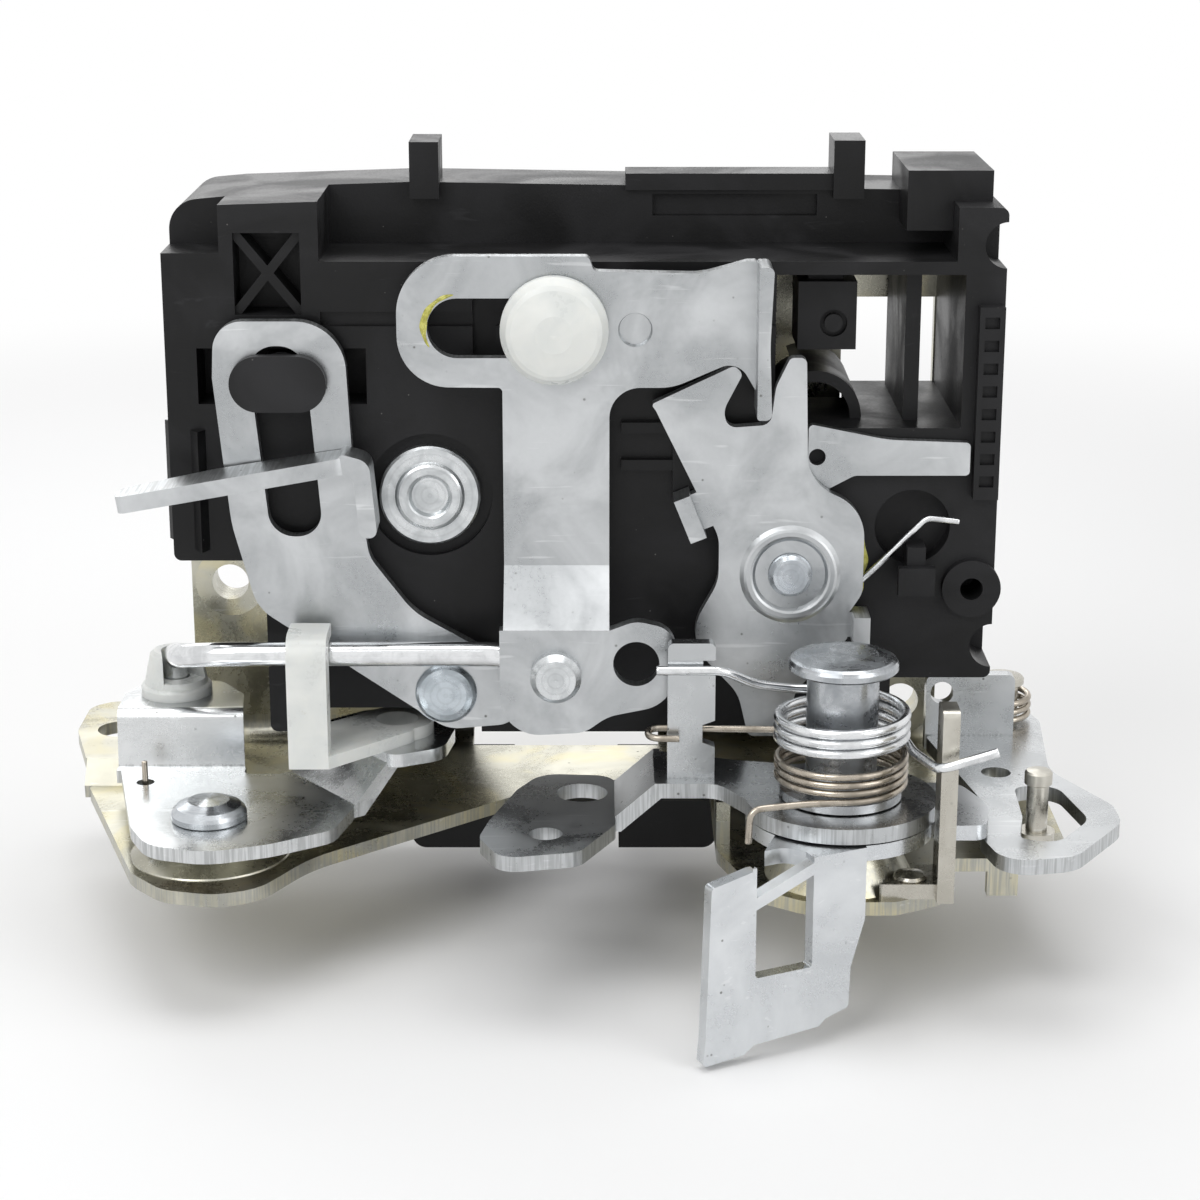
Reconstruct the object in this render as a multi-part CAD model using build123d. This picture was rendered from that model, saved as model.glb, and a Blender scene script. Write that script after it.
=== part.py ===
import math
import os
from build123d import *

os.makedirs("parts", exist_ok=True)

# Axes: X to the right along the faceplate, Y into the door edge, Z up. Millimetres.
# X = 0 is the centre of the striker mouth, Y = 0 the outer face of the faceplate,
# Z = 0 the underside of the base plate.

# ---- sheet and clearances -------------------------------------------------
base_t = 1.8
lever_t = 2.0
bend_r = 2.5
run_gap = 0.05
bore_gap = 0.06
lever_gap = 0.2
fit_gap = 0.02

# ---- faceplate and base plate ----------------------------------------------
face_half_w = 54.0
face_h = 82.5
mouth_half_w = 7.6
mouth_flare = 13.5
mouth_top = 52.0
collar_x, collar_z = -47.9, 26.5
collar2_x, collar2_z = 48.5, 8.6
collar_out_r, collar_core_r, collar_len = 5.0, 2.6, 4.0
ear_hole_x, ear_hole_y, ear_hole_r = -64.3, -7.4, 3.4
ear_lift = 3.0

# ---- housing ----------------------------------------------------------------
front = -32.0
ledge_y = -16.0
ledge_z = 76.9
house_left, house_right = -51.5, 57.4
house_low = 13.0
house_top = 85.0
cavity_front = -13.0

# ---- inner latch ------------------------------------------------------------
claw_x, claw_z = -17.4, 46.0
claw_r = 24.0
claw_open = 48.0
claw_front, claw_back = -9.5, -4.5
pawl_x, pawl_z = 30.0, 36.2
pin_r = 3.6
rivet_ring_r = 6.65

# ---- bell crank ---------------------------------------------------------------
crank_x, crank_y = -46.0, -47.3
emboss_top = 3.6
crank_low = 4.6
crank_t = 1.8
platform_top = 14.3
clip_t = 1.7
bush_x, bush_y = -54.1, -19.0
rod_r = 1.6
rod_y, rod_z = -39.6, 26.4
foot_x, foot_z = -0.7, 25.1

# ---- front levers ---------------------------------------------------------------
t_back = -36.2
t_foot_back = -42.5
knob_x, knob_z = -0.8, 69.4
knob_neck_r = 3.6
knob_head_r = 6.9
slot_back = -33.6
slot_px, slot_pz = -15.5, 19.7
slider_x, slider_z = -36.4, 61.9
pawl_lever_back = -33.8
pawl_lever_t = 2.0

# ---- main pin stack ---------------------------------------------------------------
main_x, main_y = 35.6, -54.4
main_r = 4.55
main_head_r = 6.95
boss_top = 7.9
paddle_low = 8.0
release_low = 10.3
washer_low = 12.5
washer_top = 13.6
paddle_yaw = 26.0
paddle_gap = 10.3
paddle_t = 1.8

# ---- right lever ---------------------------------------------------------------
right_x, right_y = 62.3, -10.8
right_low = 5.6
stop_x, stop_y = 61.8, -48.4
foot_rivet_x, foot_rivet_y = 44.0, -61.3


def outline(points):
    """Closed face from corners (u, v) or (u, v, round radius)."""
    pts = [(p + (0,))[:3] for p in points]
    n = len(pts)
    lead, trail, mids = [], [], []
    for i in range(n):
        u, v, r = pts[i]
        au, av, _ = pts[i - 1]
        bu, bv, _ = pts[(i + 1) % n]
        da = math.hypot(au - u, av - v)
        db = math.hypot(bu - u, bv - v)
        ax, ay = (au - u) / da, (av - v) / da
        bx, by = (bu - u) / db, (bv - v) / db
        half = math.acos(max(-1, min(1, ax * bx + ay * by))) / 2
        if r == 0 or half > 1.55:
            lead.append((u, v))
            trail.append((u, v))
            mids.append(None)
            continue
        reach = min(r / math.tan(half), 0.49 * da, 0.49 * db)
        r = reach * math.tan(half)
        mx, my = ax + bx, ay + by
        size = math.hypot(mx, my)
        far = r / math.sin(half) - r
        lead.append((u + ax * reach, v + ay * reach))
        trail.append((u + bx * reach, v + by * reach))
        mids.append((u + mx / size * far, v + my / size * far))
    edges = []
    for i in range(n):
        if mids[i]:
            edges.append(ThreePointArc(lead[i], mids[i], trail[i]))
        nxt = (i + 1) % n
        if math.dist(trail[i], lead[nxt]) > 1e-6:
            edges.append(Line(trail[i], lead[nxt]))
    return make_face(Wire(edges))


def flat(points, z0, z1):
    """Sheet in the X-Y plane between two heights."""
    return extrude(Pos(0, 0, z0) * outline(points), amount=z1 - z0)


def upright(points, y0, y1):
    """Sheet in the X-Z plane between y0 (toward the viewer) and y1."""
    plane = Plane(origin=(0, y1, 0), x_dir=(1, 0, 0), z_dir=(0, -1, 0))
    return extrude(plane * outline(points), amount=y1 - y0)


def side(points, x0, x1):
    """Sheet in the Y-Z plane between x0 and x1."""
    plane = Plane(origin=(x0, 0, 0), x_dir=(0, 1, 0), z_dir=(1, 0, 0))
    return extrude(plane * outline(points), amount=x1 - x0)


def box(x0, x1, y0, y1, z0, z1):
    size = Box(abs(x1 - x0), abs(y1 - y0), abs(z1 - z0))
    return Pos((x0 + x1) / 2, (y0 + y1) / 2, (z0 + z1) / 2) * size


def rod_zdir(x, y, r, z0, z1):
    return Pos(x, y, (z0 + z1) / 2) * Cylinder(r, z1 - z0)


def rod_ydir(x, z, r, y0, y1):
    return Pos(x, (y0 + y1) / 2, z) * Rot(90, 0, 0) * Cylinder(r, y1 - y0)


def bevelled(points):
    """The corners with each (u, v, size) one cut straight across."""
    done = []
    for i, point in enumerate(points):
        if len(point) == 2:
            done.append(point)
            continue
        for other in (points[i - 1], points[(i + 1) % len(points)]):
            reach = math.dist(point[:2], other[:2])
            share = min(0.6 * point[2] / reach, 0.48)
            done.append((point[0] + (other[0] - point[0]) * share,
                         point[1] + (other[1] - point[1]) * share))
    return done


def turned_z(x, y, profile):
    """Solid of revolution about a vertical axis from (radius, height) corners."""
    face = Plane.XZ * outline(bevelled(profile))
    return Pos(x, y, 0) * revolve(face, Axis.Z)


def turned_y(x, z, profile):
    """Solid of revolution about an axis toward the viewer, (radius, y) corners."""
    face = Plane.XY * outline(bevelled(profile))
    return Pos(x, 0, z) * revolve(face, Axis.Y)


def stadium(x, z, length, width, y0, y1, turn=0.0):
    half = (length - width) / 2
    r = width / 2
    body = box(-half, half, y0, y1, -r, r) + rod_ydir(-half, 0, r, y0, y1)
    body += rod_ydir(half, 0, r, y0, y1)
    return Pos(x, 0, z) * Rot(0, turn, 0) * body


def wire(points, r, sides=8):
    """Solid wire with flat sides along a line of points, closed at both ends."""
    line = [Vector(*p) for p in points]
    last = len(line) - 1
    heads = [(line[min(i + 1, last)] - line[max(i - 1, 0)]).normalized()
             for i in range(last + 1)]
    side = Vector(0, 0, 1) if abs(heads[0].Z) < 0.8 else Vector(1, 0, 0)
    rings = []
    for at, head in zip(line, heads):
        side = (side - head * side.dot(head)).normalized()
        other = head.cross(side)
        rings.append([at + side * r * math.cos(2 * math.pi * k / sides)
                      + other * r * math.sin(2 * math.pi * k / sides) for k in range(sides)])
    faces = [Face(Wire.make_polygon(rings[0])), Face(Wire.make_polygon(rings[-1]))]
    for low, high in zip(rings, rings[1:]):
        for k in range(sides):
            n = (k + 1) % sides
            faces.append(Face(Wire.make_polygon([low[k], low[n], high[n]])))
            faces.append(Face(Wire.make_polygon([low[k], high[n], high[k]])))
    return Solid(Shell(faces))


def rounded_line(points, bend, steps=3):
    """Points along a line whose corners are rounded."""
    out = [points[0]]
    for before, at, after in zip(points, points[1:], points[2:]):
        corner = Vector(*at)
        a = corner + (Vector(*before) - corner).normalized() * bend
        b = corner + (Vector(*after) - corner).normalized() * bend
        for i in range(steps + 1):
            t = i / steps
            p = a * (1 - t) ** 2 + corner * 2 * t * (1 - t) + b * t ** 2
            out.append((p.X, p.Y, p.Z))
    out.append(points[-1])
    return out


def coil_points(x, y, z0, mean_r, turns, pitch, start_deg):
    """Points on a rising coil about a vertical axis."""
    count = round(turns * 18)
    points = []
    for i in range(count + 1):
        a = math.radians(start_deg) + 2 * math.pi * turns * i / count
        points.append((x + mean_r * math.cos(a), y + mean_r * math.sin(a),
                       z0 + pitch * turns * i / count))
    return points


def base_plate():
    low = flat([(-54, -4.3), (-54, -19), (-56, -19), (-56, -22.6), (-66.5, -22.6, 1),
                (-64.5, -28.3, 6), (-55.2, -55, 8), (-50.5, -60.5, 6), (-43.7, -62.2, 6),
                (-38.2, -60.3, 8), (-32.7, -49.9, 20), (-6.1, -26.3, 14), (13.9, -17.5, 5),
                (20.3, -20, 3), (20.3, -47, 5), (24.5, -60, 6), (31, -64.6, 5),
                (42, -64.5, 2), (48.5, -61, 3), (50, -50, 2), (66.5, -50, 3),
                (66.5, 5, 3), (56, 5, 1), (56, -19), (54, -19), (54, -4.3)], 0, base_t)
    bend_out = bend_r + base_t
    corner = box(-face_half_w, face_half_w, -bend_out, 0, 0, bend_out)
    axis_rod = Pos(0, -bend_out, bend_out) * Rot(0, 90, 0)
    corner &= axis_rod * Cylinder(bend_out, 2 * face_half_w)
    corner -= axis_rod * Cylinder(bend_r, 2 * face_half_w + 2)
    face = upright([(-54, bend_out), (54, bend_out), (54, face_h, 6), (-54, face_h, 6)],
                   -base_t, 0)
    ear = flat([(-56, -19.8), (-67.2, -19.8), (-70.5, -8.1, 6), (-70.5, 2.6, 4),
                (-67.5, 5, 3), (-56, 5, 1)], ear_lift, ear_lift + base_t)
    ramp = side([(-22.7, 0), (-22.4, 0), (-19.4, ear_lift), (-19.4, ear_lift + base_t),
                 (-20.0, ear_lift + base_t), (-22.9, base_t)], -67.0, -56)
    plate = low + corner + face + ear + ramp
    ring = turned_z(crank_x, crank_y, [(0, base_t - 0.2), (10.5, base_t - 0.2),
                                      (10.5, base_t + 0.1, 0.3), (8.2, emboss_top, 0.6),
                                      (0, emboss_top)])
    plate += ring
    boss = turned_z(main_x, main_y, [(0, base_t - 0.2), (9.6, base_t - 0.2),
                                    (9.4, base_t + 0.2, 0.4), (6.6, boss_top, 1.2),
                                    (0, boss_top)])
    plate += boss
    plate += box(20.3, 22.1, -45, -37, 0.4, 7.7)
    plate += box(55.5, 59.5, -50.0, -48.2, -3.4, 0.5)
    collars = rod_ydir(collar_x, collar_z, collar_out_r, -base_t - collar_len, -0.5)
    collars += rod_ydir(collar2_x, collar2_z, collar_out_r, -base_t - collar_len, -0.5)
    plate += collars
    plate -= rod_ydir(collar_x, collar_z, collar_core_r, -9, 3)
    plate -= rod_ydir(collar2_x, collar2_z, collar_core_r, -9, 3)
    mouth = upright([(-mouth_flare, -1), (-mouth_flare, 5.5, 4), (-mouth_half_w, 17, 8),
                     (-mouth_half_w, mouth_top, 7.5), (mouth_half_w, mouth_top, 7.5),
                     (mouth_half_w, 17, 8), (mouth_flare, 5.5, 4), (mouth_flare, -1)], -6, 3)
    plate -= mouth
    plate -= rod_zdir(ear_hole_x, ear_hole_y, ear_hole_r, 0, 9)
    plate -= rod_zdir(crank_x, crank_y, 3.0 + fit_gap, -1, 6)
    plate -= rod_zdir(main_x, main_y, main_r + fit_gap, -1, 9)
    plate -= rod_zdir(right_x, right_y, 2.4 + fit_gap, -1, 3)
    plate -= rod_zdir(stop_x, stop_y, 1.5 + fit_gap, -1, 3)
    plate -= rod_zdir(foot_rivet_x, foot_rivet_y, 1.5 + fit_gap, -1, 3)
    for cx, cz in ((claw_x, claw_z), (pawl_x, pawl_z)):
        plate -= rod_ydir(cx, cz, pin_r + bore_gap, -3, 1)
    plate -= box(39, 52, -3, 1, 50, 67)
    return plate


def housing():
    back = -base_t
    body = upright([(house_left, 37, 1), (house_left, 83.5, 4), (-44, 84.2), (-20, house_top),
                    (house_right, house_top - 1.2, 1), (house_right, 20.7, 1), (44, 20.7),
                    (44, house_low, 1), (-39.5, house_low, 1), (-39.5, 37)], front, back)
    body -= box(-31.2, 51, front - 1, ledge_y, ledge_z, 90)
    body -= box(house_left - 1, -44, front - 1, -24, 78, 90)
    body += box(-20.3, -16.4, -18, -9, 83, 90.5)
    body += box(36, 40.1, -18, -9, 83, 90.7)
    body += box(8.4, 36, ledge_y - 0.8, -10, 84, 86.2)
    body += box(45, 56.1, -26, -6, 80, 87.8)
    body -= box(12, 34, ledge_y - 1, ledge_y + 1.2, 80.5, 83.4)
    cross = box(-42.2, -33.6, front - 1, front + 6, 70.0, 80.6)
    for turn in (39, -39):
        bar = Pos(-37.9, front + 3.4, 75.3) * Rot(0, turn, 0) * Box(1.2, 5.2, 16)
        cross -= bar
    body -= cross
    body -= box(-31.2, 51, front - 1, front + 0.8, 68.5, 70.4)
    window = box(27.8, 52.2, front - 1, back + 1, 55, 75.2)
    body -= window
    body += box(45.1, 47.1, -27, -4, 54.5, 75.5)
    arch = rod_ydir(33.5, 55.2, 6.2, -26, -6) - rod_ydir(33.5, 55.2, 4.7, -30, 0)
    body += arch & box(27, 45, -28, -4, 54.9, 70)
    body += box(53.9, 57.2, front - 2, front + 1, 45.8, 71.3)
    for i in range(8):
        z = 47.5 + 3.0 * i
        body -= box(54.6, 56.5, front - 3, front - 1.2, z, z + 1.5)
    body -= rod_ydir(46.3, 41.7, 5, front - 1, front + 3)
    body += rod_ydir(54.3, 33.4, 3.9, front - 1.2, front + 1)
    body -= rod_ydir(54.3, 33.4, 1.5, front - 2, front + 6)
    body -= rod_ydir(57.5, 25.2, 3, front - 1, front + 8)
    body -= rod_ydir(57.5, 79, 3, front - 1, front + 8)
    wedge = flat([(house_left - 1.4, -26), (-47.5, front - 1.6), (-46.4, front + 0.5),
                  (house_left + 1, -26)], 38.5, 54.8)
    body += wedge
    body -= rod_ydir(claw_x, claw_z, rivet_ring_r + 1.6, front - 1, front + 1.2)
    body += box(14.5, 17.5, front - 1.4, front + 1, 45.5, 57)
    body += box(7.8, 14.5, front - 1.2, front + 1, 49.6, 51.0)
    body += box(7.8, 14.5, front - 1.2, front + 1, 54.6, 56.0)
    body += box(-6.6, 5.6, front - 1.0, front + 1, 46, 47.2)
    body -= box(-11.5, -8.5, front - 1, front + 1.5, 62.5, 75)
    body -= box(slider_x - 11, slider_x + 11, front - 1, front + 7, slider_z - 3.7,
                slider_z + 3.7)
    body += box(45.4, 47.8, front - 3.4, front + 1, 34, 39.7)
    body += box(44.2, 49.0, front - 4.6, front - 3.2, 33.4, 37.2)
    cavity = rod_ydir(claw_x, claw_z, claw_r + 1.2, cavity_front, back + 1)
    cavity += upright([(-9, 10), (-9, 55, 4), (12, 64, 4), (36, 60, 5), (43, 46, 5),
                       (43, 30, 5), (36, 22, 5), (10, 22, 3), (10, 10)],
                      cavity_front, back + 1)
    body -= cavity
    body -= box(-34, -11, front - 1, -17, house_low - 1, 16.4)
    body -= box(-41, -36.5, -30.5, -13, house_low - 1, platform_top + 0.6)
    body -= rod_ydir(claw_x, claw_z, pin_r + fit_gap, front - 2, back + 1)
    body -= rod_ydir(pawl_x, pawl_z, pin_r + bore_gap, front - 2, back + 1)
    body -= rod_ydir(knob_x, knob_z, 3.0 + fit_gap, front - 2, -22)
    body -= rod_ydir(slot_px, slot_pz, 2.6 + fit_gap, front - 2, -20)
    return body


def striker_guide():
    body = upright([(-24, 0), (-20.5, -7, 2), (20.5, -7, 2), (24, 0)], -24, -0.5)
    body -= upright([(-mouth_half_w, -8), (-mouth_half_w, -2.2, 2),
                     (mouth_half_w, -2.2, 2), (mouth_half_w, -8)], -25, 1)
    body -= box(-mouth_half_w, mouth_half_w, -6, 1, -8, 1)
    return body


def claw_rivet():
    y0 = front + 1.2
    head = [(0, y0 - 1.6), (2.4, y0 - 1.6), (2.8, y0 - 2.4, 0.3), (4.2, y0 - 2.4, 0.3),
            (4.6, y0 - 1.8), (rivet_ring_r, y0 - 1.8, 0.5), (rivet_ring_r, y0), (pin_r, y0),
            (pin_r, 0), (0, 0)]
    return turned_y(claw_x, claw_z, head)


def claw_spring():
    y0 = claw_front - 1.3
    y1 = claw_front - 0.3
    ring = rod_ydir(claw_x, claw_z, 6.6, y0, y1) - rod_ydir(claw_x, claw_z, 5.6, y0 - 1, y1 + 1)
    leg = box(claw_x - 22, claw_x - 5.8, y0, y1, claw_z - 0.5, claw_z + 0.5)
    leg2 = box(claw_x - 0.5, claw_x + 0.5, y0, y1, claw_z + 5.8, claw_z + 20)
    return ring + leg + leg2


def claw():
    fork = [(-17, 2), (-21.5, 9), (-16, 17.5, 3), (-5, 23.4, 4), (9, 22.2, 4), (18.5, 14.8, 2),
            (22.8, 6, 2), (12.2, 3.6, 3), (12.0, -5.4, 3), (22.6, -7.4, 2), (18, -15.5, 3),
            (7, -12, 4), (-8, -10.5, 4)]
    body = upright([(claw_x + p[0], claw_z + p[1]) + p[2:] for p in fork],
                   claw_front, claw_back)
    body -= rod_ydir(claw_x, claw_z, pin_r + bore_gap, -12, 0)
    return Pos(claw_x, 0, claw_z) * Rot(0, claw_open, 0) * Pos(-claw_x, 0, -claw_z) * body


def pawl():
    body = rod_ydir(pawl_x, pawl_z, 6.8, claw_front, claw_back)
    nose = [(8.6, 44.2, 1), (9.4, 51.0, 1.5), (16, 50.6, 4), (31, 42.9), (26, 30.6),
            (19, 33.5, 4)]
    body += upright(nose, claw_front, claw_back)
    return body - rod_ydir(pawl_x, pawl_z, pin_r + fit_gap, -12, 0)


def pawl_shaft():
    y0 = pawl_lever_back - pawl_lever_t
    head = [(0, y0 - 1.4), (2.3, y0 - 1.4), (2.9, y0 - 0.7, 0.3), (2.9, y0 - 0.1),
            (pin_r - 0.7, y0 - 0.1), (pin_r - 0.7, y0 + 2.0), (pin_r, y0 + 2.0),
            (pin_r, -0.2), (0, -0.2)]
    return turned_y(pawl_x, pawl_z, head)


def pawl_lever():
    back = pawl_lever_back
    low = back - pawl_lever_t
    shape = [(11.6, 59, 0.8), (22.3, 64.1, 0.8), (23.4, 63, 0.8), (20.9, 58.1, 3),
             (21.6, 55.9, 1.5), (27.1, 56.3, 1.5), (27.7, 61.3, 4), (29.5, 65.1, 0.8),
             (31.6, 65.1, 0.8), (32.1, 48.5, 6), (39.6, 45.2, 8), (39.6, 33.6, 3),
             (37.6, 30.5), (37.8, 27.4, 1), (31.0, 20, 3), (30, 13.7, 1), (24.8, 13.7, 1),
             (23.4, 19.7, 6), (16.3, 27.3, 6), (20.6, 35.2, 6), (20.6, 41.2, 5),
             (12.2, 58.2, 0.8)]
    body = upright(shape, low, back)
    ring = [(2.95, low - 0.05), (4.6, low - 0.05), (5.1, low - 0.55, 0.3),
            (6.0, low - 0.55, 0.3), (rivet_ring_r, low), (rivet_ring_r, low + 0.3),
            (2.95, low + 0.3)]
    body += turned_y(pawl_x, pawl_z, ring)
    tab = Pos(16.7, low - 0.6, 44.4) * Rot(0, -22, 0) * Box(2.2, 5.2, 6)
    body += tab
    body += Pos(18.6, low + 1.0, 45.0) * Rot(0, -22, 0) * Box(4.0, 2.0, 5.0)
    body += box(38.2, 40.4, low - 3.4, back, 27.3, 31.2)
    body += box(36.6, 39, low, back, 27.6, 31.0)
    body -= rod_ydir(pawl_x, pawl_z, pin_r - 0.7 + fit_gap, low - 2, back + 1)
    return body


def pawl_spring():
    y = pawl_lever_back + 1.2
    turn = []
    for i in range(17):
        a = math.radians(20 * i - 7)
        turn.append((pawl_x + 7.6 * math.cos(a), y - 0.03 * i, pawl_z + 7.6 * math.sin(a)))
    leg = rounded_line([(38.4, y - 0.55, 33.4), (41.8, y - 0.75, 36.8), (47.9, y - 1.4, 43.4),
                        (52.2, y - 1.4, 42.9)], 0.8)
    return wire(turn + leg, 0.42)


def guide_knob():
    neck_back = -22.2
    profile = [(0, -43.2), (4.2, -43.0, 3), (knob_head_r, -41.2, 1.6),
               (knob_head_r, -38.5, 0.5), (knob_neck_r, -38.5), (knob_neck_r, front),
               (3.0, front), (3.0, neck_back), (0, neck_back)]
    return turned_y(knob_x, knob_z, profile)


def t_lever():
    front_y = t_back - lever_t
    shape = [(-20.9, 61.8, 7.2), (-20.9, 78.6, 7.4), (3.6, 78.6, 0.8), (4.2, 76.7, 0.8),
             (17.9, 76.4, 10), (23.6, 78, 1), (25.0, 78, 0.4), (25.0, 61.2), (22.6, 65.3, 4),
             (14.3, 61.7, 8), (6.2, 61.7, 4.5), (6.2, 38), (-7.5, 38), (-7.5, 61.7, 0.6)]
    body = upright(shape, front_y, t_back)
    body -= box(-13.2, -0.8, front_y - 1, t_back + 1, knob_z - 3.85, knob_z + 3.85)
    body -= rod_ydir(-13.2, knob_z, 3.85, front_y - 1, t_back + 1)
    body -= rod_ydir(-0.8, knob_z, 3.85, front_y - 1, t_back + 1)
    body += upright([(24.9, 58.5, 0.4), (24.9, 78, 0.4), (26.8, 78, 0.8), (26.4, 68, 30),
                     (26.8, 58.5, 0.8)], front_y - 5.0, t_back)
    body += upright([(24.9, 61.4), (24.9, 66.5), (26.7, 66.5), (26.7, 61.4)],
                    t_back - 0.1, pawl_lever_back + 0.5)
    foot_front = t_foot_back - lever_t
    body += side([(t_back, 38.1), (front_y, 38.1), (foot_front, 31), (t_foot_back, 31)],
                 -7.5, 6.2)
    foot = [(-8, 31.1), (6.2, 31.1), (9.6, 32.4, 4), (14.8, 31.2, 5), (14.8, 21.2, 5),
            (6, 19.4, 6), (3, 17.2, 4), (-8, 16.6, 8.5)]
    body += upright(foot, foot_front, t_foot_back)
    body -= rod_ydir(9.7, 26.6, 3.0, foot_front - 1, t_foot_back + 1)
    body -= rod_ydir(foot_x, foot_z, 2.6, foot_front - 1, t_foot_back + 1)
    body -= Pos(9.5, front_y, 69.2) * Sphere(2.2) & box(5, 14, front_y - 1, front_y + 0.9,
                                                        60, 75)
    return body


def rod_retainer():
    foot_front = t_foot_back - lever_t
    bore = rod_r + 0.4
    profile = [(0, foot_front - 2.6), (2.6, foot_front - 2.5), (3.3, foot_front - 1.6),
               (3.3, foot_front), (2.6, foot_front), (2.6, t_foot_back), (3.0, t_foot_back),
               (3.0, t_foot_back + 0.5), (bore, t_foot_back + 0.5), (bore, foot_front - 1.5),
               (0, foot_front - 1.5)]
    return turned_y(foot_x, foot_z, profile)


def slotted_lever():
    back = slot_back
    low = back - lever_t
    shape = [(-45, 62.4, 3), (-44.6, 69.8, 7), (-28.0, 69.8, 6.5), (-27.2, 52.1, 4),
             (-25.3, 38.5, 5), (-19.6, 30.9, 10), (-8.5, 24.6, 5), (-3.6, 15.6, 5),
             (-15.4, 14.6, 5), (-22.3, 19.3, 10), (-40.2, 31.5, 6), (-43.2, 42.9, 20)]
    body = upright(shape, low, back)
    body -= upright([(-40.5, 66.6, 3.5), (-33.1, 66.6, 3.5), (-31.2, 41.3, 3.4),
                     (-38.1, 41.3, 3.4)], low - 1, back + 1)
    strip = flat([(-27.2, low - 5.6, 2.4), (-57, low - 9.4, 1.2), (-57, low - 4.4, 2.2),
                  (-45, low - 0.9, 4), (-33, low - 0.2, 2), (-27.2, low - 0.2, 1)],
                 -1.1, 1.1)
    finger = Pos(0, 0, 0) * strip
    finger = Pos(-27, 0, 52.2) * Rot(0, -8.5, 0) * Pos(27, 0, 0) * finger
    body += finger
    post = upright([(-26.0, 42.5, 1), (-23.7, 42.5, 1), (-24.6, 52.6, 2), (-28.8, 53.8, 1),
                    (-28.6, 51.3), (-26.6, 50.2, 1)], low - 5.4, low)
    body += post
    body += upright([(-27.6, 43), (-24.2, 43), (-24.8, 51), (-27.6, 51)], low, back)
    return body - rod_ydir(slot_px, slot_pz, 2.6 + bore_gap, low - 1, back + 1)


def slotted_lever_rivet():
    low = slot_back - lever_t
    profile = [(0, low - 1.25), (3.2, low - 1.25, 0.8), (4.1, low - 0.5, 0.4),
               (4.1, low - run_gap), (2.6, low - run_gap), (2.6, slot_back + run_gap),
               (5.0, slot_back + run_gap), (5.0, front), (2.6, front), (2.6, -20.2),
               (0, -20.2)]
    return turned_y(slot_px, slot_pz, profile)


def lock_slider():
    low = slot_back - lever_t
    body = stadium(slider_x, slider_z, 12.5, 7.3, low - 1.8, low - 0.15)
    body += rod_ydir(slider_x, slider_z, 3.2, low - 0.2, front + 6.6)
    return body


def crank_rivet():
    z = crank_low + crank_t
    profile = [(0, 0), (3.0, 0), (3.0, z + run_gap), (4.9, z + run_gap, 0.2),
               (4.9, z + 1.2, 0.5), (3.6, z + 2.5, 1.5), (0, z + 2.7)]
    return turned_z(crank_x, crank_y, profile)


def crank_spacer():
    ring = rod_zdir(crank_x, crank_y, 7.0, emboss_top, crank_low - run_gap)
    return ring - rod_zdir(crank_x, crank_y, 3.0 + fit_gap, 0, 8)


def crank_spring():
    z = crank_low - 0.5
    turn = []
    for i in range(18):
        a = math.radians(-160 + 20 * i)
        turn.append((crank_x + 7.75 * math.cos(a), crank_y + 7.75 * math.sin(a), z))
    leg = rounded_line([(-54.9, -44.0, z), (-56.5, -33.9, z), (-56.5, -33.9, 9.4)], 0.8)
    return wire(turn + leg, 0.4)


def bell_crank():
    z0 = crank_low
    z1 = crank_low + crank_t
    body = flat([(-60.9, -27.9), (-55.8, -50.5, 8), (-52.7, -57, 6), (-44.9, -59.4, 9),
                 (-37.1, -56.6, 10), (-29.4, -51.6, 4), (-27.4, -42.8, 1), (-38.7, -30.6, 1),
                 (-43.6, -30.6, 1), (-43.6, -27.9)], z0, z1)
    riser = side([(-29.4, z0), (-29.4, z1), (-27.6, z1), (-26.8, platform_top, 1.6),
                  (-13.8, platform_top), (-13.8, platform_top - 1.8),
                  (-25.2, platform_top - 1.8, 0.6), (-26.2, z0, 0.6)], -61.2, -43.6)
    riser &= flat([(-61.2, -30), (-43.6, -30), (-44.6, -20, 3), (-48.5, -13.9, 3),
                   (-58.5, -13.9, 3), (-62, -21, 4)], 0, 20)
    body += riser
    out = math.atan2(-42.8 + 30.6, -29.4 + 38.7)
    ramp = upright([(0, 0), (3.2, 0), (9.0, 6.1), (9.0, 7.9), (8.2, 7.9), (1.8, 1.8),
                    (0, 1.8)], -16.4, 0)
    ramp = Pos(-38.7, -30.6, z0) * Rot(0, 0, math.degrees(out) + 90) * ramp
    body += ramp
    top = flat([(-33.2, -26.6, 1), (-22.6, -40.4, 2), (-15.8, -37, 4), (-14.6, -28.6, 4),
                (-19.5, -20.4, 6), (-27.6, -21.6, 3)], z0 + 6.1, z0 + 7.9)
    body += top
    body -= rod_zdir(crank_x, crank_y, 3.0 + bore_gap, 0, 9)
    body -= rod_zdir(-56.5, -33.9, 1.2, 0, 9)
    body -= rod_zdir(bush_x, bush_y, 2.9, 10, 16)
    body -= rod_zdir(-22.6, -30, 2.3, 10, 16)
    return body


def rod_bushing():
    z = platform_top
    profile = [(rod_r + 0.3, z - 2.4), (2.6, z - 2.4), (2.88, z - 1.85), (2.88, z), (4.9, z),
               (4.9, z + 1.3, 0.3), (4.4, z + 1.6), (3.4, z + 6.3, 0.8),
               (rod_r + 0.3, z + 6.3)]
    body = turned_z(bush_x, bush_y, profile)
    for turn in (-77, -58, -40):
        slot = Pos(bush_x, bush_y, z + 5.2) * Rot(0, 0, turn)
        body -= slot * Pos(4, 0, 0) * Box(8, 2 * rod_r + 0.8, 5.6)
    return body


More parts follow.
